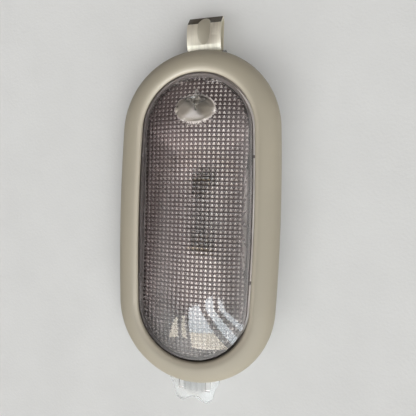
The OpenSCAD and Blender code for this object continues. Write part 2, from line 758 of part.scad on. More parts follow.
collar_h = 2;
stem_d = 3.4;
plunger_collar_z = switch_top - 0.2 - collar_h;
stem_z = floor_z + 1.6 + plunger_travel + 0.9;
module switch_plunger() {
    color("#e9e6dc") translate([0, plunger_y, 0]) {
        translate([0, 0, plunger_collar_z]) cylinder(d = collar_d, h = collar_h);
        translate([0, 0, plunger_collar_z]) cylinder(d = plunger_d, h = plunger_top_z - plunger_collar_z);
        translate([0, 0, stem_z]) cylinder(d = stem_d, h = plunger_collar_z - stem_z + EPS);
    }
}
module switch_bridge() {
    color("#c2a24f") translate([0, plunger_y, plunger_collar_z - 0.6]) difference() {
        cylinder(d = collar_d - 0.2, h = 0.6);
        translate([0, 0, -1]) cylinder(d = stem_d + 0.2, h = 3);
    }
}

// Spring as a coil, swept along a helix
spring_d = 6;
wire_d = 0.6;
spring_z0 = floor_z + 1.6;
spring_z1 = plunger_collar_z - 0.6;
spring_turns = 5.5;
ring_sides = 6;
spring_steps = 14;
function helix_frame(t) =
    let (a = 360 * spring_turns * t, z = spring_z0 + wire_d / 2 + (spring_z1 - spring_z0 - wire_d) * t)
    [cos(a) , sin(a), z];
module switch_spring() {
    n = floor(spring_turns * spring_steps);
    r = (spring_d - wire_d) / 2;
    points = [for (k = [0 : n]) let (h = helix_frame(k / n))
        for (j = [0 : ring_sides - 1]) let (b = 360 * j / ring_sides)
            [h[0] * (r + wire_d / 2 * cos(b)), h[1] * (r + wire_d / 2 * cos(b)), h[2] + wire_d / 2 * sin(b)]];
    faces = concat([[for (j = [0 : ring_sides - 1]) j]],
        [for (k = [0 : n - 1], j = [0 : ring_sides - 1])
            let (m = (j + 1) % ring_sides)
            [k * ring_sides + m, k * ring_sides + j, (k + 1) * ring_sides + j, (k + 1) * ring_sides + m]],
        [[for (j = [ring_sides - 1 : -1 : 0]) n * ring_sides + j]]);
    color("#a8a8a6") translate([0, plunger_y, 0]) polyhedron(points, faces);
}

// Terminal blades in the socket
terminal_w = 2.8;
terminal_t = 0.8;
terminal_xs = [-4.6, 0, 4.6];
terminal_in = 4.3;
module terminal(x) {
    block(x, terminal_w, socket_y - terminal_t / 2, socket_y + terminal_t / 2,
        floor_z + terminal_in, switch_top - 0.2);
}
module terminal_supply() {
    color("#c9b483") terminal(terminal_xs[0]);
}
module terminal_earth() {
    color("#c9b483") terminal(terminal_xs[1]);
}
module terminal_door() {
    color("#c9b483") terminal(terminal_xs[2]);
}

screw_head_d = 4.6;
screw_head_h = 1.4;
screw_slot_w = 0.7;
screw_slot_r = 1.3;
module switch_screws() {
    head_z = ear_z + ear_t;
    shank_z = floor_top + 0.4;
    color("#8f9094") for (s = [-1, 1]) translate([s * ear_x, switch_y, 0]) {
        translate([0, 0, shank_z]) cylinder(d = screw_d - 0.4, h = head_z - shank_z);
        difference() {
            translate([0, 0, head_z]) cylinder(d1 = screw_head_d, d2 = screw_head_d - 1, h = screw_head_h);
            for (a = [0, 90]) rotate(a) block(0, screw_slot_w, -screw_slot_r, screw_slot_r,
                head_z + 0.6, head_z + screw_head_h + 1);
        }
    }
}

bezel();
lens();
carrier();
reflector();
bulb_glass();
bulb_filament();
bulb_cap_upper();
bulb_cap_lower();
contact_supply();
contact_earth();
switch_housing();
switch_cover();
switch_plunger();
switch_bridge();
switch_spring();
terminal_supply();
terminal_earth();
terminal_door();
retaining_clip();
clip_rivets();
switch_screws();
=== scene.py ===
"""Dresses the roof light in Blender: the finishes, the lens's pillow optics and the stage.

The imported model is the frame. Every size is in metres, in the part's own frame: +Z looks out of
the lens, +Y points to the spring clip, and the origin is the middle of the bezel's rear rim.
"""
import json
import math

import bmesh
import bpy
from mathutils import Euler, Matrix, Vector


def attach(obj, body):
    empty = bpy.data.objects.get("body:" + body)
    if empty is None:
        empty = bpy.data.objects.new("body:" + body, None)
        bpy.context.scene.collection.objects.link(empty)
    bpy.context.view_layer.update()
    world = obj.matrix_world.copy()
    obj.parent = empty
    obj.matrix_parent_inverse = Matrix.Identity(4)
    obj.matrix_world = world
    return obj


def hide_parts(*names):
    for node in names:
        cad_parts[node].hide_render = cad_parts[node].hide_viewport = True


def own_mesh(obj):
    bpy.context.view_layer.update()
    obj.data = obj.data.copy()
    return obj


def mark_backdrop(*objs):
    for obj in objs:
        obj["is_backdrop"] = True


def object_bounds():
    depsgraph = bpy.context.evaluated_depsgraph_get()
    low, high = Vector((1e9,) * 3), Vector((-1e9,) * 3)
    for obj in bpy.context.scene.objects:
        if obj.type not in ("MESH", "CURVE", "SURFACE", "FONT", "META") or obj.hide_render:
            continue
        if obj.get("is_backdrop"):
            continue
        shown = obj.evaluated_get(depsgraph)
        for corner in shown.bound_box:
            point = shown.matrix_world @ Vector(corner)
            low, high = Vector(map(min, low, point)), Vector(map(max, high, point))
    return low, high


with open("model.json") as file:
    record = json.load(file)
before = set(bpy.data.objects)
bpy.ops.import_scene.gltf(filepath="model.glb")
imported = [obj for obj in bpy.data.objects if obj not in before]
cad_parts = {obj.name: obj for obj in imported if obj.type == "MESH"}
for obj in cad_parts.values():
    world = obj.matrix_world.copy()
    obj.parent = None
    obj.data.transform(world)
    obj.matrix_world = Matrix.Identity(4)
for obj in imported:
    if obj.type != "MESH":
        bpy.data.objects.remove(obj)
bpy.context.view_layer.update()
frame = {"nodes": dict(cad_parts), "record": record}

bl_info = {
    "name": "Roof light dresser",
    "version": (1, 0, 0),
    "blender": (4, 5, 0),
    "location": "3D View > Sidebar > Roof light",
    "description": "Builds the lens optics, the finishes and the stage of an oval roof light",
    "category": "Object",
}

MM = 0.001


# Frame helpers

def body_of_node(node):
    """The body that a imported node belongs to."""
    for body, nodes in frame["record"]["behaviour"]["bodies"].items():
        if node in nodes:
            return body
    raise RuntimeError(f"no body holds {node}")


def slot_of_node(node):
    """The material slot that the record gives a node."""
    for entry in frame["record"]["subparts"]:
        if entry["node"] == node:
            return entry["material_slot"]
    raise RuntimeError(f"no slot for {node}")


def link_object(name, mesh):
    """A new object that holds the mesh, in the scene's collection."""
    obj = bpy.data.objects.new(name, mesh)
    bpy.context.scene.collection.objects.link(obj)
    return obj


def finish_shading(mesh, sharp_deg):
    """Smooth faces, with a sharp edge wherever two faces meet at more than sharp_deg."""
    mesh.shade_smooth()
    mesh.set_sharp_from_angle(angle=math.radians(sharp_deg))


def merged_copy(node, name, reach=2e-6):
    """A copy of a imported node's mesh with its loose triangles joined, and no slivers."""
    mesh = frame["nodes"][node].data.copy()
    mesh.name = name
    work = bmesh.new()
    work.from_mesh(mesh)
    bmesh.ops.remove_doubles(work, verts=work.verts, dist=reach)
    bmesh.ops.dissolve_degenerate(work, edges=work.edges, dist=reach / 2)
    work.to_mesh(mesh)
    work.free()
    mesh.materials.clear()
    return mesh


def stand_for(obj, node, material):
    """Gives obj its finish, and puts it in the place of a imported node."""
    obj.data.materials.clear()
    obj.data.materials.append(material)
    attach(obj, body_of_node(node))
    slot_of_node(node)
    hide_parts(node)


def dress_node(node, name, material, sharp_deg=28, reach=2e-6):
    """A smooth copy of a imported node, in the node's place."""
    mesh = merged_copy(node, name, reach)
    finish_shading(mesh, sharp_deg)
    obj = link_object(name, mesh)
    stand_for(obj, node, material)
    return obj


def put_point_mask(mesh, name, measure):
    """Stores a mask on the mesh's points. measure gives a point's value from its x, y and z."""
    mask = mesh.attributes.new(name, "FLOAT", "POINT")
    mask.data.foreach_set("value", [float(measure(*vert.co)) for vert in mesh.vertices])


def put_face_masks(mesh, names, measure):
    """Stores masks on the mesh's faces. measure gives a face's values, one for each name."""
    rows = [measure(face) for face in mesh.polygons]
    for name, values in zip(names, zip(*rows)):
        mask = mesh.attributes.new(name, "FLOAT", "FACE")
        mask.data.foreach_set("value", [float(value) for value in values])


# Node helpers

class Wiring:
    """A node tree, with short ways to add, set and join its nodes."""

    def __init__(self, tree):
        self.tree = tree

    def put(self, node, inputs):
        """Sets or joins inputs, each named by its place or its label, with _ for a space."""
        for key, item in inputs.items():
            port = node.inputs[key.replace("_", " ") if isinstance(key, str) else key]
            if isinstance(item, bpy.types.NodeSocket):
                self.tree.links.new(item, port)
            else:
                port.default_value = item
        return node

    def add(self, kind, settings=None, **inputs):
        """A new node with its settings, and with its inputs set or joined."""
        node = self.tree.nodes.new(kind)
        for key, item in (settings or {}).items():
            setattr(node, key, item)
        return self.put(node, inputs)

    def math(self, operation, *terms):
        """The result of a sum on numbers and outputs."""
        node = self.add("ShaderNodeMath", {"operation": operation})
        return self.put(node, dict(enumerate(terms))).outputs[0]

    def fade(self, value, start, full, **levels):
        """A smooth rise from 0 at start to 1 at full, or between the levels given."""
        return self.add("ShaderNodeMapRange", {"interpolation_type": "SMOOTHSTEP"}, Value=value,
                        From_Min=start, From_Max=full, **levels).outputs["Result"]

    def blend(self, share, first, second):
        """Mixes two colours, each an output or a plain colour, by the share of the second."""
        ends = [color if isinstance(color, bpy.types.NodeSocket) else (*color, 1)
                for color in (first, second)]
        node = self.add("ShaderNodeMix", {"data_type": "RGBA"})
        return self.put(node, {0: share, 6: ends[0], 7: ends[1]}).outputs[2]


class Group(Wiring):
    """A node group. Its inputs and outputs are pairs of a label and a kind."""

    def __init__(self, name, kind, inputs, outputs):
        super().__init__(bpy.data.node_groups.new(name, kind))
        self.idents = {label: self.socket(label, "INPUT", sort) for label, sort in inputs}
        for label, sort in outputs:
            self.socket(label, "OUTPUT", sort)
        self.source = self.add("NodeGroupInput")
        self.sink = self.add("NodeGroupOutput")

    def socket(self, label, way, sort):
        kind = "NodeSocket" + sort
        return self.tree.interface.new_socket(name=label, in_out=way, socket_type=kind).identifier

    def value(self, label):
        return self.source.outputs[label]


class Shader(Wiring):
    """A material with one Principled surface. Constants are set on the surface's own inputs."""

    def __init__(self, name, **constants):
        self.material = bpy.data.materials.new(name)
        self.material.use_nodes = True
        super().__init__(self.material.node_tree)
        self.tree.nodes.clear()
        self.surface = self.add("ShaderNodeBsdfPrincipled", **constants)
        self.output = self.add("ShaderNodeOutputMaterial", Surface=self.surface.outputs["BSDF"])
        self.place = self.add("ShaderNodeTexCoord").outputs["Object"]

    def mask(self, name):
        """A mask that is stored on the mesh."""
        return self.add("ShaderNodeAttribute", {"attribute_name": name}).outputs["Fac"]

    def group(self, tree, **values):
        """A group that reads the piece's own coordinates, unless it is given others."""
        inputs = {"Position": self.place, **values}
        return self.add("ShaderNodeGroup", {"node_tree": tree}, **inputs)

    def skin(self, base, tone, gloss, gloss_drift=0.08, grain=1600.0, strength=0.1,
             distance=2e-5, drift=40.0, **others):
        """The moulded skin, with this finish's values."""
        tree = bpy.data.node_groups.get(SKIN_NAME) or moulded_skin_group()
        return self.group(tree, Base=(*base, 1), Tone=(*tone, 1), Gloss=gloss,
                          Gloss_drift=gloss_drift, Grain=grain, Strength=strength,
                          Distance=distance, Drift=drift, **others)

    def cover(self, skin, color=None, roughness=None):
        """Joins the skin to the surface, or the colour and roughness made from it."""
        out = skin.outputs
        self.put(self.surface, {
            "Base Color": out["Color"] if color is None else color,
            "Roughness": out["Roughness"] if roughness is None else roughness,
            "Normal": out["Normal"]})
        return self.material

    def lamps_pass(self, tint):
        """Lets light from lamps straight through, tinted, as thin clear plastic does."""
        path = self.add("ShaderNodeLightPath")
        clear = self.add("ShaderNodeBsdfTransparent", Color=(*tint, 1))
        pick = self.put(self.add("ShaderNodeMixShader"), {
            0: path.outputs["Is Shadow Ray"], 1: self.surface.outputs["BSDF"],
            2: clear.outputs["BSDF"]})
        self.put(self.output, {"Surface": pick.outputs["Shader"]})


SKIN_NAME = "moulded_skin"


def moulded_skin_group():
    """Moulded plastic or metal skin: fine grain for the bump, and soft drifts of tone."""
    g = Group(SKIN_NAME, "ShaderNodeTree", [
        ("Position", "Vector"), ("Grain", "Float"), ("Drift", "Float"), ("Strength", "Float"),
        ("Distance", "Float"), ("Base", "Color"), ("Tone", "Color"), ("Gloss", "Float"),
        ("Gloss drift", "Float")],
        [("Color", "Color"), ("Roughness", "Float"), ("Normal", "Vector")])
    val = g.value
    grain = g.add("ShaderNodeTexNoise", Vector=val("Position"), Scale=val("Grain"), Detail=3)
    bump = g.add("ShaderNodeBump", Strength=val("Strength"), Distance=val("Distance"),
                 Height=grain.outputs["Fac"])
    drift = g.add("ShaderNodeTexNoise", Vector=val("Position"), Scale=val("Drift"), Detail=4)
    spread = g.add("ShaderNodeMapRange", Value=drift.outputs["Fac"], From_Min=0.35,
                   From_Max=0.65).outputs["Result"]
    g.put(g.sink, {
        "Color": g.blend(spread, val("Base"), val("Tone")),
        "Roughness": g.math("MULTIPLY_ADD", spread, val("Gloss drift"), val("Gloss")),
        "Normal": bump.outputs["Normal"]})
    return g.tree


def darker(color, share):
    return tuple(c * share for c in color)


def skin_material(name, base, tone, gloss, **values):
    """A plastic that is nothing but the moulded skin."""
    shader = Shader(name)
    return shader.cover(shader.skin(base, tone, gloss, **values))


def metal_material(name, base, tone, gloss, **values):
    """A bare metal that is nothing but the moulded skin."""
    shader = Shader(name, Metallic=1.0)
    return shader.cover(shader.skin(base, tone, gloss, **values))


# Sizes and colours that a user would change

def size_prop(name, description, default, low=0.0):
    return bpy.props.FloatProperty(name=name, description=description, default=default,
                                   min=low, unit="LENGTH", precision=5)


def color_prop(name, description, default):
    return bpy.props.FloatVectorProperty(name=name, description=description, default=default,
                                         size=3, subtype="COLOR", min=0, max=1)


class StageSettings(bpy.types.PropertyGroup):
    """Where the camera stands, and how bright the room and the window are."""
    camera_place: bpy.props.FloatVectorProperty(
        name="Camera place", description="Where the camera stands", size=3,
        default=(48.813 * MM, 8.780 * MM, 167.905 * MM), subtype="TRANSLATION")
    camera_turn: bpy.props.FloatVectorProperty(
        name="Camera turn", description="How the camera is turned", size=3,
        default=tuple(math.radians(a) for a in (-0.8791, 14.5052, 1.6695)), subtype="EULER")
    camera_focal: bpy.props.FloatProperty(
        name="Focal length", description="Focal length on a 36 mm sensor", default=30.296,
        min=10, subtype="NONE")
    floor_color: color_prop("Floor", "Colour of the table", (0.79, 0.815, 0.815))
    window_light: bpy.props.FloatProperty(
        name="Window light", description="Radiance of the window's panes", default=9.0, min=0)
    sky_light: bpy.props.FloatProperty(
        name="Room light", description="Radiance of the room where it is brightest",
        default=2.88, min=0)
    dark_side: color_prop("Dark side", "Radiance of the room's dark, warm end",
                          (0.05, 0.03, 0.025))
    backdrop: color_prop("Backdrop", "Colour behind the table, and of the light from below",
                         (0.72, 0.735, 0.73))


class BezelSettings(bpy.types.PropertyGroup):
    """The bezel's moulded plastic."""
    color: color_prop("Colour", "Warm grey of the moulding", (0.44, 0.406, 0.316))
    tone: color_prop("Second tone", "Slightly darker drift of the grey", (0.415, 0.384, 0.301))
    # The lip colour is paler as a painted highlight along the lip's edge; the lip's real polish is
    # its lower roughness
    lip: color_prop("Lip", "Paler, polished grey of the rounded lip", (0.56, 0.52, 0.42))
    # The collar colour is painted shade on the wall of the opening, in the gap beside the lens
    collar_shade: color_prop("Collar", "Dull, grimy wall of the opening", (0.075, 0.062, 0.048))
    end_radius: size_prop("End radius", "Radius of the bezel's round ends", 40 * MM)
    end_place: size_prop("End place", "Distance of the round ends' middle from the bezel's",
                         42 * MM)
    side_radius: size_prop("Side radius", "Radius of the bowed sides", 922.5 * MM)
    half_width: size_prop("Half width", "Half the bezel's width", 41 * MM)


class LensSettings(bpy.types.PropertyGroup):
    """The lens and the pillows moulded into its inner face."""
    tint: color_prop("Tint", "Colour of the clear plastic", (0.955, 0.93, 0.92))
    # The valley colour is painted shade in the gaps between the pillows
    valley_shade: color_prop("Valley", "Colour of the light that the valleys let through",
                       (0.012, 0.008, 0.009))
    # The left colours are painted shade: the lens is darker on its left side
    left_shade_tint: color_prop("Left tint", "Colour of the clear plastic on the left",
                         (0.42, 0.385, 0.38))
    left_valley_shade: color_prop("Left valley", "Colour of the valleys on the left",
                           (0.07, 0.052, 0.056))
    # The rim colour is painted shade along the lens's skirt and in the gap beside the bezel
    rim_shade_tint: color_prop("Rim tint", "Colour of the light that the skirt lets through",
                         (0.10, 0.09, 0.09))
    # The recess colour gets painted shade over its upper half and a painted highlight in its lower
    # half
    recess_tint: color_prop("Recess tint", "Colour of the light that the recess lets through",
                            (0.50, 0.475, 0.425))
    shade: color_prop("Shade", "Share of lamp light that reaches the inside", (0.84, 0.82, 0.81))
    dot_size: bpy.props.FloatProperty(
        name="Dot size", description="Clear share of a pillow's half width", default=0.3,
        min=0, max=1)
    frost: bpy.props.FloatProperty(name="Frost", description="Roughness of the pillows",
                                   default=0.14, min=0, max=1)
    end_radius: size_prop("End radius", "Radius of the lens's round ends", 26.9 * MM)
    end_place: size_prop("End place", "Distance of the round ends' middle from the lens's",
                         42 * MM)
    pitch_x: size_prop("Pitch across", "Distance between pillows across the lens", 2.14 * MM)
    pitch_y: size_prop("Pitch along", "Distance between pillows along the lens", 2.06 * MM)
    shift: size_prop("Shift", "Place of the pillow grid's middle across the lens", -1.07 * MM,
                     low=-0.01)
    dome_radius: size_prop("Dome radius", "Radius of a pillow's round face", 2.1 * MM)
    border: size_prop("Smooth border", "Width of the rim that has no pillows", 1.9 * MM)
    crown_radius: size_prop("Crown radius", "Radius of the lens's outer crown", 81 * MM)
    crown_top: size_prop("Crown height", "Top of the lens above the rear rim", 11.3 * MM)
    wall: size_prop("Wall", "Thickness of the lens", 2.0 * MM)
    recess_y: size_prop("Recess place", "Middle of the finger recess along the lens", 51.6 * MM)
    recess_half: bpy.props.FloatVectorProperty(
        name="Recess half size", description="Half width and half length of the finger recess",
        size=2, default=(9.5 * MM, 6.25 * MM), unit="LENGTH", precision=5)


class MetalSettings(bpy.types.PropertyGroup):
    """The clip's steel and the reflector's sheet."""
    clip: color_prop("Clip", "Passivated spring steel", (0.92, 0.88, 0.745))
    # The bend colour is painted shade on the clip's bent lip, which faces away from the light
    bend: color_prop("Bend", "Darker oxide on the clip's bent lip", (0.10, 0.085, 0.06))
    # The root colour is painted shade where the clip leaves the bezel
    root_shade: color_prop("Grime", "Brown grime where the clip leaves the bezel", (0.05, 0.03, 0.02))
    root: size_prop("Clip root", "Place along the light where the clip leaves the bezel",
                    82.3 * MM)
    crease: size_prop("Crease", "Place of the clip's crease along the light", 97.2 * MM)
    # The swage colour is painted shade in the clip's swage
    swage: color_prop("Swage", "Duller steel in the clip's swage", (0.64, 0.61, 0.50))
    swage_half: size_prop("Swage half width", "Half the width of the clip's swage", 3.9 * MM)
    leaf_radius: size_prop("Leaf radius", "Outer radius of the clip's arched leaf", 15.4 * MM)
    leaf_place: bpy.props.FloatVectorProperty(
        name="Leaf middle", description="Middle of the leaf's arch, along the light and in height",
        size=2, default=(92.4 * MM, -17.7 * MM), unit="LENGTH", precision=5)
    reflector: color_prop("Reflector", "Satin aluminium", (0.80, 0.785, 0.77))


# Bezel

# Where the lip and the collar start, in from the outer edge, and a height that bounds each
LIP_INSET, LIP_LOW = 9.9 * MM, 5.5 * MM
COLLAR_INSET, COLLAR_TOP = 11.8 * MM, 5.7 * MM
LIP_POLISH = -0.27


class ROOFLIGHT_OT_bezel(bpy.types.Operator):
    """Smooths the bezel and gives it its grained plastic, a polished lip with a painted highlight,
    and painted shade on the collar
    """
    bl_idname = "rooflight.bezel"
    bl_label = "Bezel"

    def execute(self, context):
        look = context.scene.rooflight_bezel
        shader = Shader("bezel_grained_plastic", IOR=1.49)
        skin = shader.skin(look.color, look.tone, 0.55, grain=2600.0, strength=0.2,
                           distance=1.5e-5)
        lip = shader.mask("lip")
        # The lip's paler colour is a painted highlight; its lower roughness is its polish
        color = shader.blend(lip, skin.outputs["Color"], look.lip)
        # Painted shade darkens the collar, the wall of the opening
        color = shader.blend(shader.mask("collar_shade_mask"), color, look.collar_shade)
        rough = shader.math("MULTIPLY_ADD", lip, LIP_POLISH, skin.outputs["Roughness"])
        bezel = dress_node("bezel", "bezel_moulding", shader.cover(skin, color, rough),
                           reach=0.05 * MM)

        def inset(x, y):
            """A point's distance from the bezel's outer edge, seen from the front."""
            past = abs(y) - look.end_place
            if past > 0:
                return look.end_radius - math.hypot(x, past)
            return look.side_radius - math.hypot(
                abs(x) + look.side_radius - look.half_width, y)

        # The collar's painted shade goes on points inside the opening and below the lip
        put_point_mask(bezel.data, "collar_shade_mask", lambda x, y, z: (
            inset(x, y) > COLLAR_INSET and z < COLLAR_TOP))
        put_point_mask(bezel.data, "lip", lambda x, y, z: (
            inset(x, y) > LIP_INSET and z > LIP_LOW))
        return {"FINISHED"}


# Lens

PILLOW_COLUMNS, PILLOW_ROWS, PILLOW_STEPS = 25, 67, 4
# The pillows' edges stand this far outside the lens's inner face, and their slab is this thick
PILLOW_SINK, PILLOW_ROOT = -0.1 * MM, 0.5 * MM
# Roughness that each part of the lens's inside adds to its skin's
RIM_HAZE, BORDER_HAZE, RECESS_HAZE, INNER_HAZE = 0.6, 0.3, 0.42, 0.5
# How near a point on the crown is to its round form, and how far below the inner crown a face
# is on the skirt, still on the inner crown, or among the pillows
CROWN_NEAR = 0.04 * MM
SKIRT_DROP, CROWN_SKIN, PILLOW_DEPTH = 0.3 * MM, 0.2 * MM, 1.2 * MM
FEWEST_FACES = 10000


def pillow_tree():
    """A slab whose lower face is a sheet of round pillows that follows the lens's inner crown.

    It covers an oval that stops short of the lens's rim, and leaves out the finger recess.
    """
    g = Group("pillow_optics", "GeometryNodeTree", [
        ("Columns", "Int"), ("Rows", "Int"), ("Steps", "Int"),
        ("Pitch across", "Float"), ("Pitch along", "Float"), ("Shift across", "Float"),
        ("Dome radius", "Float"), ("Crown radius", "Float"), ("Crown axis", "Float"),
        ("Round end", "Float"), ("Reach", "Float"), ("Recess place", "Float"),
        ("Recess across", "Float"), ("Recess along", "Float"), ("Sink", "Float"),
        ("Root", "Float"), ("Material", "Material")],
        [("Geometry", "Geometry")])
    math, val = g.math, g.value
    grid = g.add(
        "GeometryNodeMeshGrid",
        Size_X=math("MULTIPLY", val("Columns"), val("Pitch across")),
        Size_Y=math("MULTIPLY", val("Rows"), val("Pitch along")),
        Vertices_X=math("MULTIPLY_ADD", val("Columns"), val("Steps"), 1.0),
        Vertices_Y=math("MULTIPLY_ADD", val("Rows"), val("Steps"), 1.0))
    at = g.add("ShaderNodeSeparateXYZ", Vector=g.add("GeometryNodeInputPosition").outputs[0])

    def cell(along, count, pitch):
        """The middle of a point's pillow along one axis, and the point's place from it."""
        turn = math("MULTIPLY_ADD", val(count), 0.5, math("DIVIDE", at.outputs[along], val(pitch)))
        index = math("FLOOR", turn)
        middle = math("MULTIPLY", val(pitch), math("MULTIPLY_ADD", val(count), -0.5,
                                                    math("ADD", index, 0.5)))
        return middle, math("SUBTRACT", at.outputs[along], middle)

    def past_end(y):
        return math("MAXIMUM", math("SUBTRACT", math("ABSOLUTE", y), val("Round end")), 0.0)

    def length(a, b):
        return math("SQRT", math("ADD", math("MULTIPLY", a, a), math("MULTIPLY", b, b)))

    mid_x, off_x = cell("X", "Columns", "Pitch across")
    mid_y, off_y = cell("Y", "Rows", "Pitch along")
    real_x = math("ADD", mid_x, val("Shift across"))
    outside = math("GREATER_THAN", length(mid_x, past_end(mid_y)), val("Reach"))
    in_recess = math("LESS_THAN", length(
        math("DIVIDE", real_x, val("Recess across")),
        math("DIVIDE", math("SUBTRACT", mid_y, val("Recess place")), val("Recess along"))), 1.0)
    kept = g.add("GeometryNodeDeleteGeometry", {"domain": "FACE"}, Geometry=grid.outputs["Mesh"],
                 Selection=math("MAXIMUM", outside, in_recess))
    top = g.add("GeometryNodeExtrudeMesh", {"mode": "FACES"}, Mesh=kept.outputs[0],
                Offset_Scale=val("Root"), Individual=False)
    under = g.add("GeometryNodeFlipFaces", Mesh=kept.outputs[0])
    both = g.add("GeometryNodeJoinGeometry")
    for sheet in (top, under):
        g.put(both, {0: sheet.outputs[0]})
    slab = g.add("GeometryNodeMergeByDistance", Geometry=both.outputs[0], Distance=2e-6)

    radius2 = math("MULTIPLY", val("Dome radius"), val("Dome radius"))
    half_x = math("MULTIPLY", val("Pitch across"), 0.5)
    half_y = math("MULTIPLY", val("Pitch along"), 0.5)

    def rise(a, b):
        return math("SQRT", math("SUBTRACT", radius2, math(
            "ADD", math("MULTIPLY", a, a), math("MULTIPLY", b, b))))

    dome = math("SUBTRACT", rise(off_x, off_y), rise(half_x, half_y))
    placed_x = math("ADD", at.outputs["X"], val("Shift across"))
    far = length(placed_x, past_end(at.outputs["Y"]))
    crown = math("ADD", val("Crown axis"), math("SQRT", math(
        "SUBTRACT", math("MULTIPLY", val("Crown radius"), val("Crown radius")),
        math("MULTIPLY", far, far))))
    is_top = math("GREATER_THAN", at.outputs["Z"], math("MULTIPLY", val("Root"), 0.5))
    low_z = math("ADD", crown, math("SUBTRACT", val("Sink"), dome))
    high_z = math("ADD", crown, val("Root"))
    height = math("ADD", low_z, math("MULTIPLY", is_top, math("SUBTRACT", high_z, low_z)))
    place = g.add("ShaderNodeCombineXYZ", X=placed_x, Y=at.outputs["Y"], Z=height)
    moved = g.add("GeometryNodeSetPosition", Geometry=slab.outputs[0], Position=place.outputs[0])
    real = g.add("GeometryNodeRealizeInstances", Geometry=moved.outputs[0])
    done = g.add("GeometryNodeSetMaterial", Geometry=real.outputs[0], Material=val("Material"))
    g.put(g.sink, {0: done.outputs[0]})
    return g


def evaluated_mesh(obj):
    """A plain mesh of what the object's modifiers make."""
    bpy.context.view_layer.update()
    return bpy.data.meshes.new_from_object(
        obj.evaluated_get(bpy.context.evaluated_depsgraph_get()))


def grown(name, geometry, values):
    """The mesh that a geometry node tree makes from these values."""
    holder = link_object(name, bpy.data.meshes.new(name))
    modifier = holder.modifiers.new("shape", "NODES")
    modifier.node_group = geometry.tree
    for label, value in values.items():
        modifier[geometry.idents[label]] = value
    shape = evaluated_mesh(holder)
    bpy.data.objects.remove(holder)
    return shape


def joined(base, tool):
    """The mesh of two closed objects joined. The tool is removed."""
    weld = base.modifiers.new("weld", "BOOLEAN")
    weld.operation = "UNION"
    weld.solver = "MANIFOLD"
    weld.object = tool
    mesh = evaluated_mesh(base)
    base.modifiers.clear()
    bpy.data.objects.remove(tool)
    return mesh


def pattern_group():
    """Masks for the lens: the painted shade in the gaps between its pillows, painted light across
    it, and its recess.

    Highlight is a painted highlight, a light triangle in the recess's lower half, and Slope is
    painted shade that rises over its upper half.
    """
    g = Group("lens_pattern", "ShaderNodeTree", [
        ("Position", "Vector"), ("Pitch across", "Float"), ("Pitch along", "Float"),
        ("Shift", "Float"), ("Half width", "Float"), ("Dot", "Float"), ("Softness", "Float"),
        ("Recess place", "Float"), ("Recess across", "Float"), ("Recess along", "Float")],
        [(label, "Float") for label in ("Gap", "Recess", "Fade", "Highlight", "Slope")])
    math, val, fade = g.math, g.value, g.fade
    at = g.add("ShaderNodeSeparateXYZ", Vector=val("Position"))
    x, y = at.outputs["X"], at.outputs["Y"]
    middle, half = val("Recess place"), val("Recess along")

    def cell(place, pitch):
        """A point's place in its pillow along one axis, from -1 to 1."""
        turn = math("FRACT", math("ADD", math("DIVIDE", place, pitch), 0.5))
        return math("MULTIPLY_ADD", turn, 2.0, -1.0)

    u = math("ABSOLUTE", cell(math("SUBTRACT", x, val("Shift")), val("Pitch across")))
    v = cell(y, val("Pitch along"))
    share = math("DIVIDE", x, val("Half width"))
    # Painted light: the lens is shaded darker on its left and a little at its far right, and its
    # dots shrink where it is shaded
    lit = math("MULTIPLY_ADD", fade(share, 0.35, 0.95), -0.55, fade(share, -1.0, 0.6))
    size = math("MULTIPLY", val("Dot"), math("MULTIPLY_ADD", lit, 0.4, 0.8))
    # Gap is painted shade between the pillows: each cell keeps a clear dot, shaped as an arrow
    arrow = math("MAXIMUM", math("MULTIPLY_ADD", v, 0.6, u), math("MULTIPLY", v, -1.15))
    gap = fade(arrow, size, math("ADD", size, val("Softness")))

    hollow = math("SQRT", math(
        "ADD", math("POWER", math("DIVIDE", x, val("Recess across")), 2.0),
        math("POWER", math("DIVIDE", math("SUBTRACT", y, middle), half), 2.0)))
    # Highlight is a painted highlight, a light triangle in the recess's lower half; Slope is
    # painted shade over its upper half
    aside = math("ABSOLUTE", math("ADD", x, math("MULTIPLY", half, 0.1)))
    low = math("SUBTRACT", math("SUBTRACT", middle, y), math("MULTIPLY", aside, 1.1))
    shine = math("MULTIPLY",
                 fade(low, math("MULTIPLY", half, -0.55), math("MULTIPLY", half, 0.2)),
                 fade(y, math("SUBTRACT", middle, half),
                      math("MULTIPLY_ADD", half, -0.5, middle)))
    g.put(g.sink, {"Gap": gap, "Recess": fade(hollow, 1.04, 0.96), "Fade": lit, "Highlight": shine,
                   "Slope": fade(y, middle, math("ADD", middle, half))})
    return g.tree


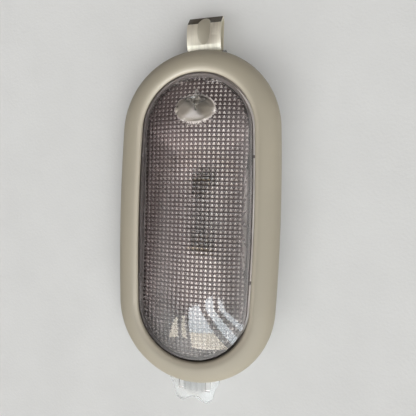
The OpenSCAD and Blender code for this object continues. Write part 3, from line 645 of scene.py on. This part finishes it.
def lens_plastic(look):
    """Smoky clear plastic. The pillows are frosted, with painted shade in the valleys between
    them, on the left side and on the rim, and painted shade and a painted highlight in the recess.
    """
    shader = Shader("lens_smoky_clear", Transmission_Weight=1.0, IOR=1.53)
    shader.lamps_pass(look.shade)
    skin = shader.skin(look.tint, darker(look.tint, 0.97), 0.03, gloss_drift=0.02, grain=260.0,
                       strength=0.012, distance=1e-5, drift=60.0)
    masks = shader.group(
        pattern_group(), Pitch_across=look.pitch_x, Pitch_along=look.pitch_y, Shift=look.shift,
        Half_width=look.end_radius, Dot=look.dot_size, Softness=0.24,
        Recess_place=look.recess_y, Recess_across=look.recess_half[0],
        Recess_along=look.recess_half[1]).outputs
    # Painted shade darkens the clear dots and the valleys towards the left
    clear = shader.blend(masks["Fade"], look.left_shade_tint, skin.outputs["Color"])
    valley_shade = shader.blend(masks["Fade"], look.left_valley_shade, look.valley_shade)
    gap = shader.math("MULTIPLY", masks["Gap"], shader.mask("pillow"))
    color = shader.blend(gap, clear, valley_shade)
    # Painted shade over the recess's upper half, then a painted white highlight in its lower half
    bowl = shader.blend(masks["Slope"], look.recess_tint, darker(look.recess_tint, 0.25))
    bowl = shader.blend(masks["Highlight"], bowl, (1, 1, 1))
    color = shader.blend(masks["Recess"], color, bowl)
    # Painted shade darkens the skirt, the border's underside and the inner faces
    color = shader.blend(shader.mask("rim"), color, look.rim_shade_tint)
    haze = shader.math("ADD", skin.outputs["Roughness"], shader.mask("haze"))
    rough = shader.math("MULTIPLY_ADD", masks["Recess"], 0.05, haze)
    return shader.cover(skin, color, rough)


class Crown:
    """The round form of the lens: its height over a point, and its normal there."""

    def __init__(self, look):
        self.end = look.end_place
        self.axis = look.crown_top - look.crown_radius
        self.outer = look.crown_radius
        self.inner = look.crown_radius - look.wall

    def past_end(self, y):
        return max(abs(y) - self.end, 0)

    def far(self, x, y):
        """Distance from the lens's middle line."""
        return math.hypot(x, self.past_end(y))

    def height(self, radius, x, y):
        return self.axis + math.sqrt(radius ** 2 - x * x - self.past_end(y) ** 2)

    def carries(self, point):
        """Whether a point is on the outer face."""
        return abs(self.height(self.outer, point.x, point.y) - point.z) < CROWN_NEAR

    def normal(self, point):
        return Vector((point.x, math.copysign(self.past_end(point.y), point.y),
                       point.z - self.axis)).normalized()


def put_crown_normals(mesh, crown):
    """Gives the faces on the crown its exact normals, so that reflections run evenly."""
    normals = [corner.vector.copy() for corner in mesh.corner_normals]
    for face in mesh.polygons:
        points = [mesh.vertices[index].co for index in face.vertices]
        if all(crown.carries(point) for point in points):
            for loop, point in zip(face.loop_indices, points):
                normals[loop] = crown.normal(point)
    mesh.normals_split_custom_set(normals)


class ROOFLIGHT_OT_lens(bpy.types.Operator):
    """Builds the lens with the pillows on its inner face"""
    bl_idname = "rooflight.lens"
    bl_label = "Lens"

    def execute(self, context):
        look = context.scene.rooflight_lens
        material = lens_plastic(look)
        lens = link_object("lens_moulding", merged_copy("lens", "lens_moulding"))
        crown = Crown(look)
        # The pillows stop a share of their pitch short of the border and of the recess
        reach = look.end_radius - look.border - 0.3 * look.pitch_x
        across = look.recess_half[0] + look.pitch_x / 4
        along = look.recess_half[1] + look.pitch_y / 3
        relief = grown("pillow_relief", pillow_tree(), {
            "Columns": PILLOW_COLUMNS, "Rows": PILLOW_ROWS, "Steps": PILLOW_STEPS,
            "Pitch across": look.pitch_x, "Pitch along": look.pitch_y,
            "Shift across": look.shift, "Dome radius": look.dome_radius,
            "Crown radius": crown.inner, "Crown axis": crown.axis,
            "Round end": look.end_place, "Reach": reach, "Recess place": look.recess_y,
            "Recess across": across, "Recess along": along,
            "Sink": PILLOW_SINK, "Root": PILLOW_ROOT, "Material": material})
        lens.data = mesh = joined(lens, link_object("pillow_relief", relief))
        if len(mesh.polygons) < FEWEST_FACES:
            raise RuntimeError("the pillows didn't join the lens")

        def kind(face):
            """A face's haze, and its share of the pillows' painted valley shade and of the rim's
            painted shade.
            """
            x, y, z = face.center
            far = crown.far(x, y)
            under = crown.height(crown.inner, x, y) - z
            if far > look.end_radius - look.wall:
                if abs(face.normal.z) < 0.6 or under > SKIRT_DROP:
                    return RIM_HAZE, 0, 1
                return (BORDER_HAZE, 0, 0.5) if face.normal.z < 0 else (0, 0, 0)
            if under < -CROWN_SKIN or face.normal.z > 0.3:
                return 0, 0, 0
            if math.hypot(x / across, (y - look.recess_y) / along) < 1:
                return RECESS_HAZE, 0, 0
            if under < PILLOW_DEPTH and far < reach + 1.4 * look.pitch_x:
                return look.frost, 1, 0
            return INNER_HAZE, 0, 0.6

        put_face_masks(mesh, ("haze", "pillow", "rim"), kind)
        finish_shading(mesh, 26)
        put_crown_normals(mesh, crown)
        stand_for(lens, "lens", material)
        return {"FINISHED"}


# Carrier and reflector

# The tongue leaves the bezel at its root. Its outline of painted shade is marked outside these
# bounds.
TONGUE_ROOT, TONGUE_END, TONGUE_SIDE = -82.3 * MM, -91.5 * MM, 9 * MM


class ROOFLIGHT_OT_carrier(bpy.types.Operator):
    """Gives the carrier its clear plastic, with painted shade as a grey outline round the tongue
    """
    bl_idname = "rooflight.carrier"
    bl_label = "Carrier"

    def execute(self, context):
        shader = Shader("carrier_clear", Transmission_Weight=1.0, IOR=1.36)
        shader.lamps_pass((0.5, 0.51, 0.51))
        skin = shader.skin((0.80, 0.81, 0.81), (0.77, 0.78, 0.78), 0.2, gloss_drift=0.05,
                           grain=500.0, strength=0.05, distance=1e-5, drift=60.0)
        # Painted shade: the tongue's upright edges are tinted dark grey as an outline
        color = shader.blend(shader.mask("side"), skin.outputs["Color"], (0.12, 0.12, 0.12))
        carrier = dress_node("carrier", "carrier_moulding", shader.cover(skin, color))

        def side(face):
            x, y, _ = face.center
            upright = abs(face.normal.z) < 0.5
            return upright and y < TONGUE_ROOT and (abs(x) > TONGUE_SIDE or y < TONGUE_END),

        put_face_masks(carrier.data, ("side",), side)
        return {"FINISHED"}


class ROOFLIGHT_OT_reflector(bpy.types.Operator):
    """Gives the reflector its satin sheet"""
    bl_idname = "rooflight.reflector"
    bl_label = "Reflector"

    def execute(self, context):
        look = context.scene.rooflight_metal
        dress_node("reflector", "reflector_sheet", metal_material(
            "reflector_satin", look.reflector, darker(look.reflector, 0.9), 0.62, grain=900.0))
        return {"FINISHED"}


# Bulb, contacts and switch

class ROOFLIGHT_OT_bulb(bpy.types.Operator):
    """Finishes the bulb's glass, filament and caps"""
    bl_idname = "rooflight.bulb"
    bl_label = "Bulb"

    def execute(self, context):
        tint = (0.98, 0.98, 0.98)
        shader = Shader("bulb_clear_glass", Transmission_Weight=1.0, IOR=1.49)
        shader.lamps_pass(darker(tint, 0.85))
        glass = shader.cover(shader.skin(
            tint, darker(tint, 0.97), 0.02, gloss_drift=0.02, grain=500.0, strength=0.05,
            distance=1e-5, drift=60.0))
        dress_node("bulb_glass", "bulb_tube", glass)
        wire = metal_material("filament_wire", (0.25, 0.24, 0.23), (0.2, 0.19, 0.18), 0.4)
        dress_node("bulb_filament", "bulb_wire", wire)
        nickel = metal_material("cap_nickel", (0.6, 0.57, 0.52), (0.5, 0.47, 0.42), 0.25)
        for node in ("bulb_cap_upper", "bulb_cap_lower"):
            dress_node(node, node + "_shell", nickel)
        return {"FINISHED"}


class ROOFLIGHT_OT_contacts(bpy.types.Operator):
    """Finishes the spring blades, the bridge and the terminals"""
    bl_idname = "rooflight.contacts"
    bl_label = "Contacts"

    def execute(self, context):
        brass = metal_material("blade_brass", (0.6, 0.5, 0.32), (0.5, 0.41, 0.25), 0.3)
        for node in ("contact_supply", "contact_earth", "switch_bridge"):
            dress_node(node, node + "_strip", brass)
        tin = metal_material("terminal_tin", (0.62, 0.6, 0.52), (0.5, 0.48, 0.42), 0.35)
        for node in ("terminal_supply", "terminal_earth", "terminal_door"):
            dress_node(node, node + "_blade", tin)
        return {"FINISHED"}


class ROOFLIGHT_OT_switch(bpy.types.Operator):
    """Finishes the switch's housing, cover, plunger and spring"""
    bl_idname = "rooflight.switch"
    bl_label = "Switch"

    def execute(self, context):
        black = skin_material("switch_black", (0.022, 0.022, 0.024), (0.03, 0.03, 0.032), 0.45,
                              strength=0.3)
        for node in ("switch_housing", "switch_cover"):
            dress_node(node, node + "_moulding", black)
        white = skin_material("plunger_white", (0.75, 0.72, 0.66), (0.7, 0.67, 0.6), 0.35)
        dress_node("switch_plunger", "plunger_moulding", white)
        steel = metal_material("spring_wire", (0.5, 0.5, 0.49), (0.4, 0.4, 0.4), 0.25)
        coil = dress_node("switch_spring", "return_spring", steel, sharp_deg=50)
        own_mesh(coil)
        return {"FINISHED"}


# Clip and fasteners

# Length over which the painted shade at the clip's root fades out
ROOT_SHADE_FADE = 1.7 * MM


def clip_steel(look):
    """Drawn steel, streaked along the strip, with painted shade on its bent lip, in its swage and
    at its root.
    """
    shader = Shader("clip_straw_steel", Metallic=0.4)
    drawn = shader.add("ShaderNodeVectorMath", {"operation": "MULTIPLY"})
    shader.put(drawn, {0: shader.place, 1: (1, 0.05, 0.05)})
    skin = shader.skin(look.clip, darker(look.clip, 0.84), 0.4, gloss_drift=0.1, grain=1200.0,
                       strength=0.08, drift=700.0, Position=drawn.outputs[0])
    along = shader.add("ShaderNodeSeparateXYZ", Vector=shader.place).outputs["Y"]
    # Painted shade darkens the clip's swage
    color = shader.blend(shader.mask("swage"), skin.outputs["Color"], look.swage)
    # Painted shade darkens the clip's bent lip
    color = shader.blend(shader.mask("bend"), color, look.bend)
    # Painted shade darkens the clip where it leaves the bezel
    color = shader.blend(shader.fade(along, look.root + ROOT_SHADE_FADE, look.root), color, look.root_shade)
    return shader.cover(skin, color)


class ROOFLIGHT_OT_fasteners(bpy.types.Operator):
    """Finishes the spring clip, its rivets and the switch's screws"""
    bl_idname = "rooflight.fasteners"
    bl_label = "Clip and fasteners"

    def execute(self, context):
        look = context.scene.rooflight_metal
        clip = dress_node("retaining_clip", "clip_strip", clip_steel(look))

        def kind(face):
            """Whether a face is on the bent lip, and whether it is in the swage: both get painted
            shade.
            """
            x, y, z = face.center
            leaf_y, leaf_z = look.leaf_place
            depth = look.leaf_radius - math.hypot(y - leaf_y, z - leaf_z)
            outside = face.normal.z > 0.05 and z > leaf_z
            bend = outside and y > look.crease and face.normal.y > 0.5
            swage = (outside and not bend and abs(x) < look.swage_half
                     and (depth > 0.1 * MM or y > look.crease))
            return bend, swage

        put_face_masks(clip.data, ("bend", "swage"), kind)
        rivet = metal_material("rivet_steel", (0.45, 0.44, 0.42), (0.38, 0.37, 0.35), 0.35)
        dress_node("clip_rivets", "rivet_pair", rivet)
        zinc = metal_material("screw_zinc", (0.5, 0.51, 0.52), (0.4, 0.41, 0.42), 0.3)
        dress_node("switch_screws", "screw_pair", zinc)
        return {"FINISHED"}


# Stage

TABLE_REACH = 2.5
# The room's light is brightest above and towards the window, and the person behind the camera
# shades a patch overhead: an aim, the cosines where the fade starts and ends, and its two levels
SKY_FADES = (
    ((0.1, -0.45, 0.88), 0.48, 0.86, 0.0, 1.0),
    ((-0.1, 0.0, 0.99), 0.76, 0.93, 1.0, 0.12),
)
SKY_TINT = (1.0, 0.985, 0.965)
WINDOW_AIM = Vector((0.05, -0.57, 0.82)).normalized()
WINDOW_FAR = 4.0
COOL, WARM = (0.88, 0.95, 1.0), (1.0, 0.93, 0.80)
# The window's panes, each a tone and its corners on a plane that faces the light, as shares of
# the window's distance: across, and up from its middle
PANES = (
    (COOL, ((-0.33, 0.32), (-0.16, 0.33), (0.01, -0.05), (-0.32, -0.05))),
    (WARM, ((-0.32, -0.05), (0.01, -0.05), (0.15, -0.33), (-0.31, -0.30))),
    (COOL, ((-0.08, 0.34), (0.03, 0.34), (0.34, -0.24), (0.24, -0.33))),
    (COOL, ((0.10, 0.33), (0.19, 0.30), (0.45, -0.05), (0.40, -0.14))),
    (WARM, ((-0.43, 0.18), (-0.39, 0.19), (-0.37, -0.16), (-0.45, -0.14))),
    (WARM, ((-0.56, 0.12), (-0.50, 0.15), (-0.51, -0.17), (-0.69, -0.24))),
)


def place_camera(scene, look):
    """The camera at the photograph's viewing angle."""
    data = bpy.data.cameras.new("camera")
    data.sensor_width = 36
    data.lens = look.camera_focal
    data.clip_start = 0.01
    camera = link_object("camera", data)
    camera.location = look.camera_place
    camera.rotation_euler = Euler(look.camera_turn)
    scene.camera = camera


def make_table(look):
    """The pale table that the light lies on."""
    low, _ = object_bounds()
    mesh = bpy.data.meshes.new("table")
    corners = ((-1, -1), (1, -1), (1, 1), (-1, 1))
    mesh.from_pydata([(TABLE_REACH * x, TABLE_REACH * y, low[2]) for x, y in corners],
                     [], [(0, 1, 2, 3)])
    mesh.materials.append(skin_material(
        "table_pale", look.floor_color, darker(look.floor_color, 0.965), 0.85, gloss_drift=0.1,
        grain=700.0, strength=0.4, distance=3e-4, drift=30.0))
    return link_object("table", mesh)


def glow_material(name, tone, strength):
    """Plain light of one tone."""
    material = bpy.data.materials.new(name)
    material.use_nodes = True
    wiring = Wiring(material.node_tree)
    wiring.tree.nodes.clear()
    glow = wiring.add("ShaderNodeEmission", Color=(*tone, 1), Strength=strength)
    wiring.add("ShaderNodeOutputMaterial", Surface=glow.outputs["Emission"])
    return material


def make_window(look):
    """The window's panes. Only glossy and clear surfaces see them, so the table stays even."""
    across = Vector((0, 0, 1)).cross(WINDOW_AIM).normalized()
    upward = WINDOW_AIM.cross(across)
    points, faces = [], []
    for _, pane in PANES:
        start = len(points)
        points += [(WINDOW_AIM + across * u + upward * v) * WINDOW_FAR for u, v in pane]
        faces.append(tuple(range(start, len(points))))
    mesh = bpy.data.meshes.new("window_panes")
    mesh.from_pydata(points, [], faces)
    for name, tone in (("window_cool", COOL), ("window_warm", WARM)):
        mesh.materials.append(glow_material(name, tone, look.window_light))
    for face, (tone, _) in zip(mesh.polygons, PANES):
        face.material_index = (COOL, WARM).index(tone)
    window = link_object("window_panes", mesh)
    window.visible_camera = False
    window.visible_diffuse = False
    return window


def light_room(scene, look):
    """The room's soft light, with a pale backdrop for the camera and pale light from below."""
    world = bpy.data.worlds.new("room")
    scene.world = world
    world.use_nodes = True
    wiring = Wiring(world.node_tree)
    way = wiring.add("ShaderNodeTexCoord").outputs["Generated"]
    fades = []
    for aim, start, full, low, high in SKY_FADES:
        toward = wiring.add("ShaderNodeVectorMath", {"operation": "DOT_PRODUCT"})
        wiring.put(toward, {0: way, 1: Vector(aim).normalized()})
        fades.append(wiring.fade(toward.outputs["Value"], start, full, To_Min=low, To_Max=high))
    sky = wiring.blend(wiring.math("MULTIPLY", *fades), look.dark_side,
                       [look.sky_light * c for c in SKY_TINT])
    height = wiring.add("ShaderNodeSeparateXYZ", Vector=way).outputs["Z"]
    seen = wiring.math("MAXIMUM", wiring.fade(height, 0.0, -0.15),
                       wiring.add("ShaderNodeLightPath").outputs["Is Camera Ray"])
    wiring.put(world.node_tree.nodes["Background"],
               {"Color": wiring.blend(seen, sky, look.backdrop)})


class ROOFLIGHT_OT_stage(bpy.types.Operator):
    """Sets up the camera, the pale table, the window and the room's even light"""
    bl_idname = "rooflight.stage"
    bl_label = "Stage"

    def execute(self, context):
        scene = context.scene
        look = scene.rooflight_stage
        scene.view_settings.view_transform = "Standard"
        place_camera(scene, look)
        table = make_table(look)
        window = make_window(look)
        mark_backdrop(table, window)
        light_room(scene, look)
        return {"FINISHED"}


class ROOFLIGHT_PT_panel(bpy.types.Panel):
    """Lists the steps of the roof light's making"""
    bl_idname = "ROOFLIGHT_PT_panel"
    bl_label = "Roof light"
    bl_space_type = "VIEW_3D"
    bl_region_type = "UI"
    bl_category = "Roof light"

    def draw(self, context):
        for operator in OPERATORS:
            self.layout.operator(operator.bl_idname)


SETTINGS = {
    "rooflight_stage": StageSettings,
    "rooflight_bezel": BezelSettings,
    "rooflight_lens": LensSettings,
    "rooflight_metal": MetalSettings,
}
OPERATORS = (
    ROOFLIGHT_OT_stage,
    ROOFLIGHT_OT_bezel,
    ROOFLIGHT_OT_carrier,
    ROOFLIGHT_OT_reflector,
    ROOFLIGHT_OT_bulb,
    ROOFLIGHT_OT_contacts,
    ROOFLIGHT_OT_switch,
    ROOFLIGHT_OT_fasteners,
    ROOFLIGHT_OT_lens,
)
CLASSES = (*SETTINGS.values(), *OPERATORS, ROOFLIGHT_PT_panel)


def register():
    for cls in CLASSES:
        bpy.utils.register_class(cls)
    for name, cls in SETTINGS.items():
        setattr(bpy.types.Scene, name, bpy.props.PointerProperty(type=cls))


def unregister():
    for name in SETTINGS:
        delattr(bpy.types.Scene, name)
    for cls in reversed(CLASSES):
        bpy.utils.unregister_class(cls)


def main():
    register()
    for operator in OPERATORS:
        group, name = operator.bl_idname.split(".")
        getattr(getattr(bpy.ops, group), name)()


if __name__ == "__main__":
    main()
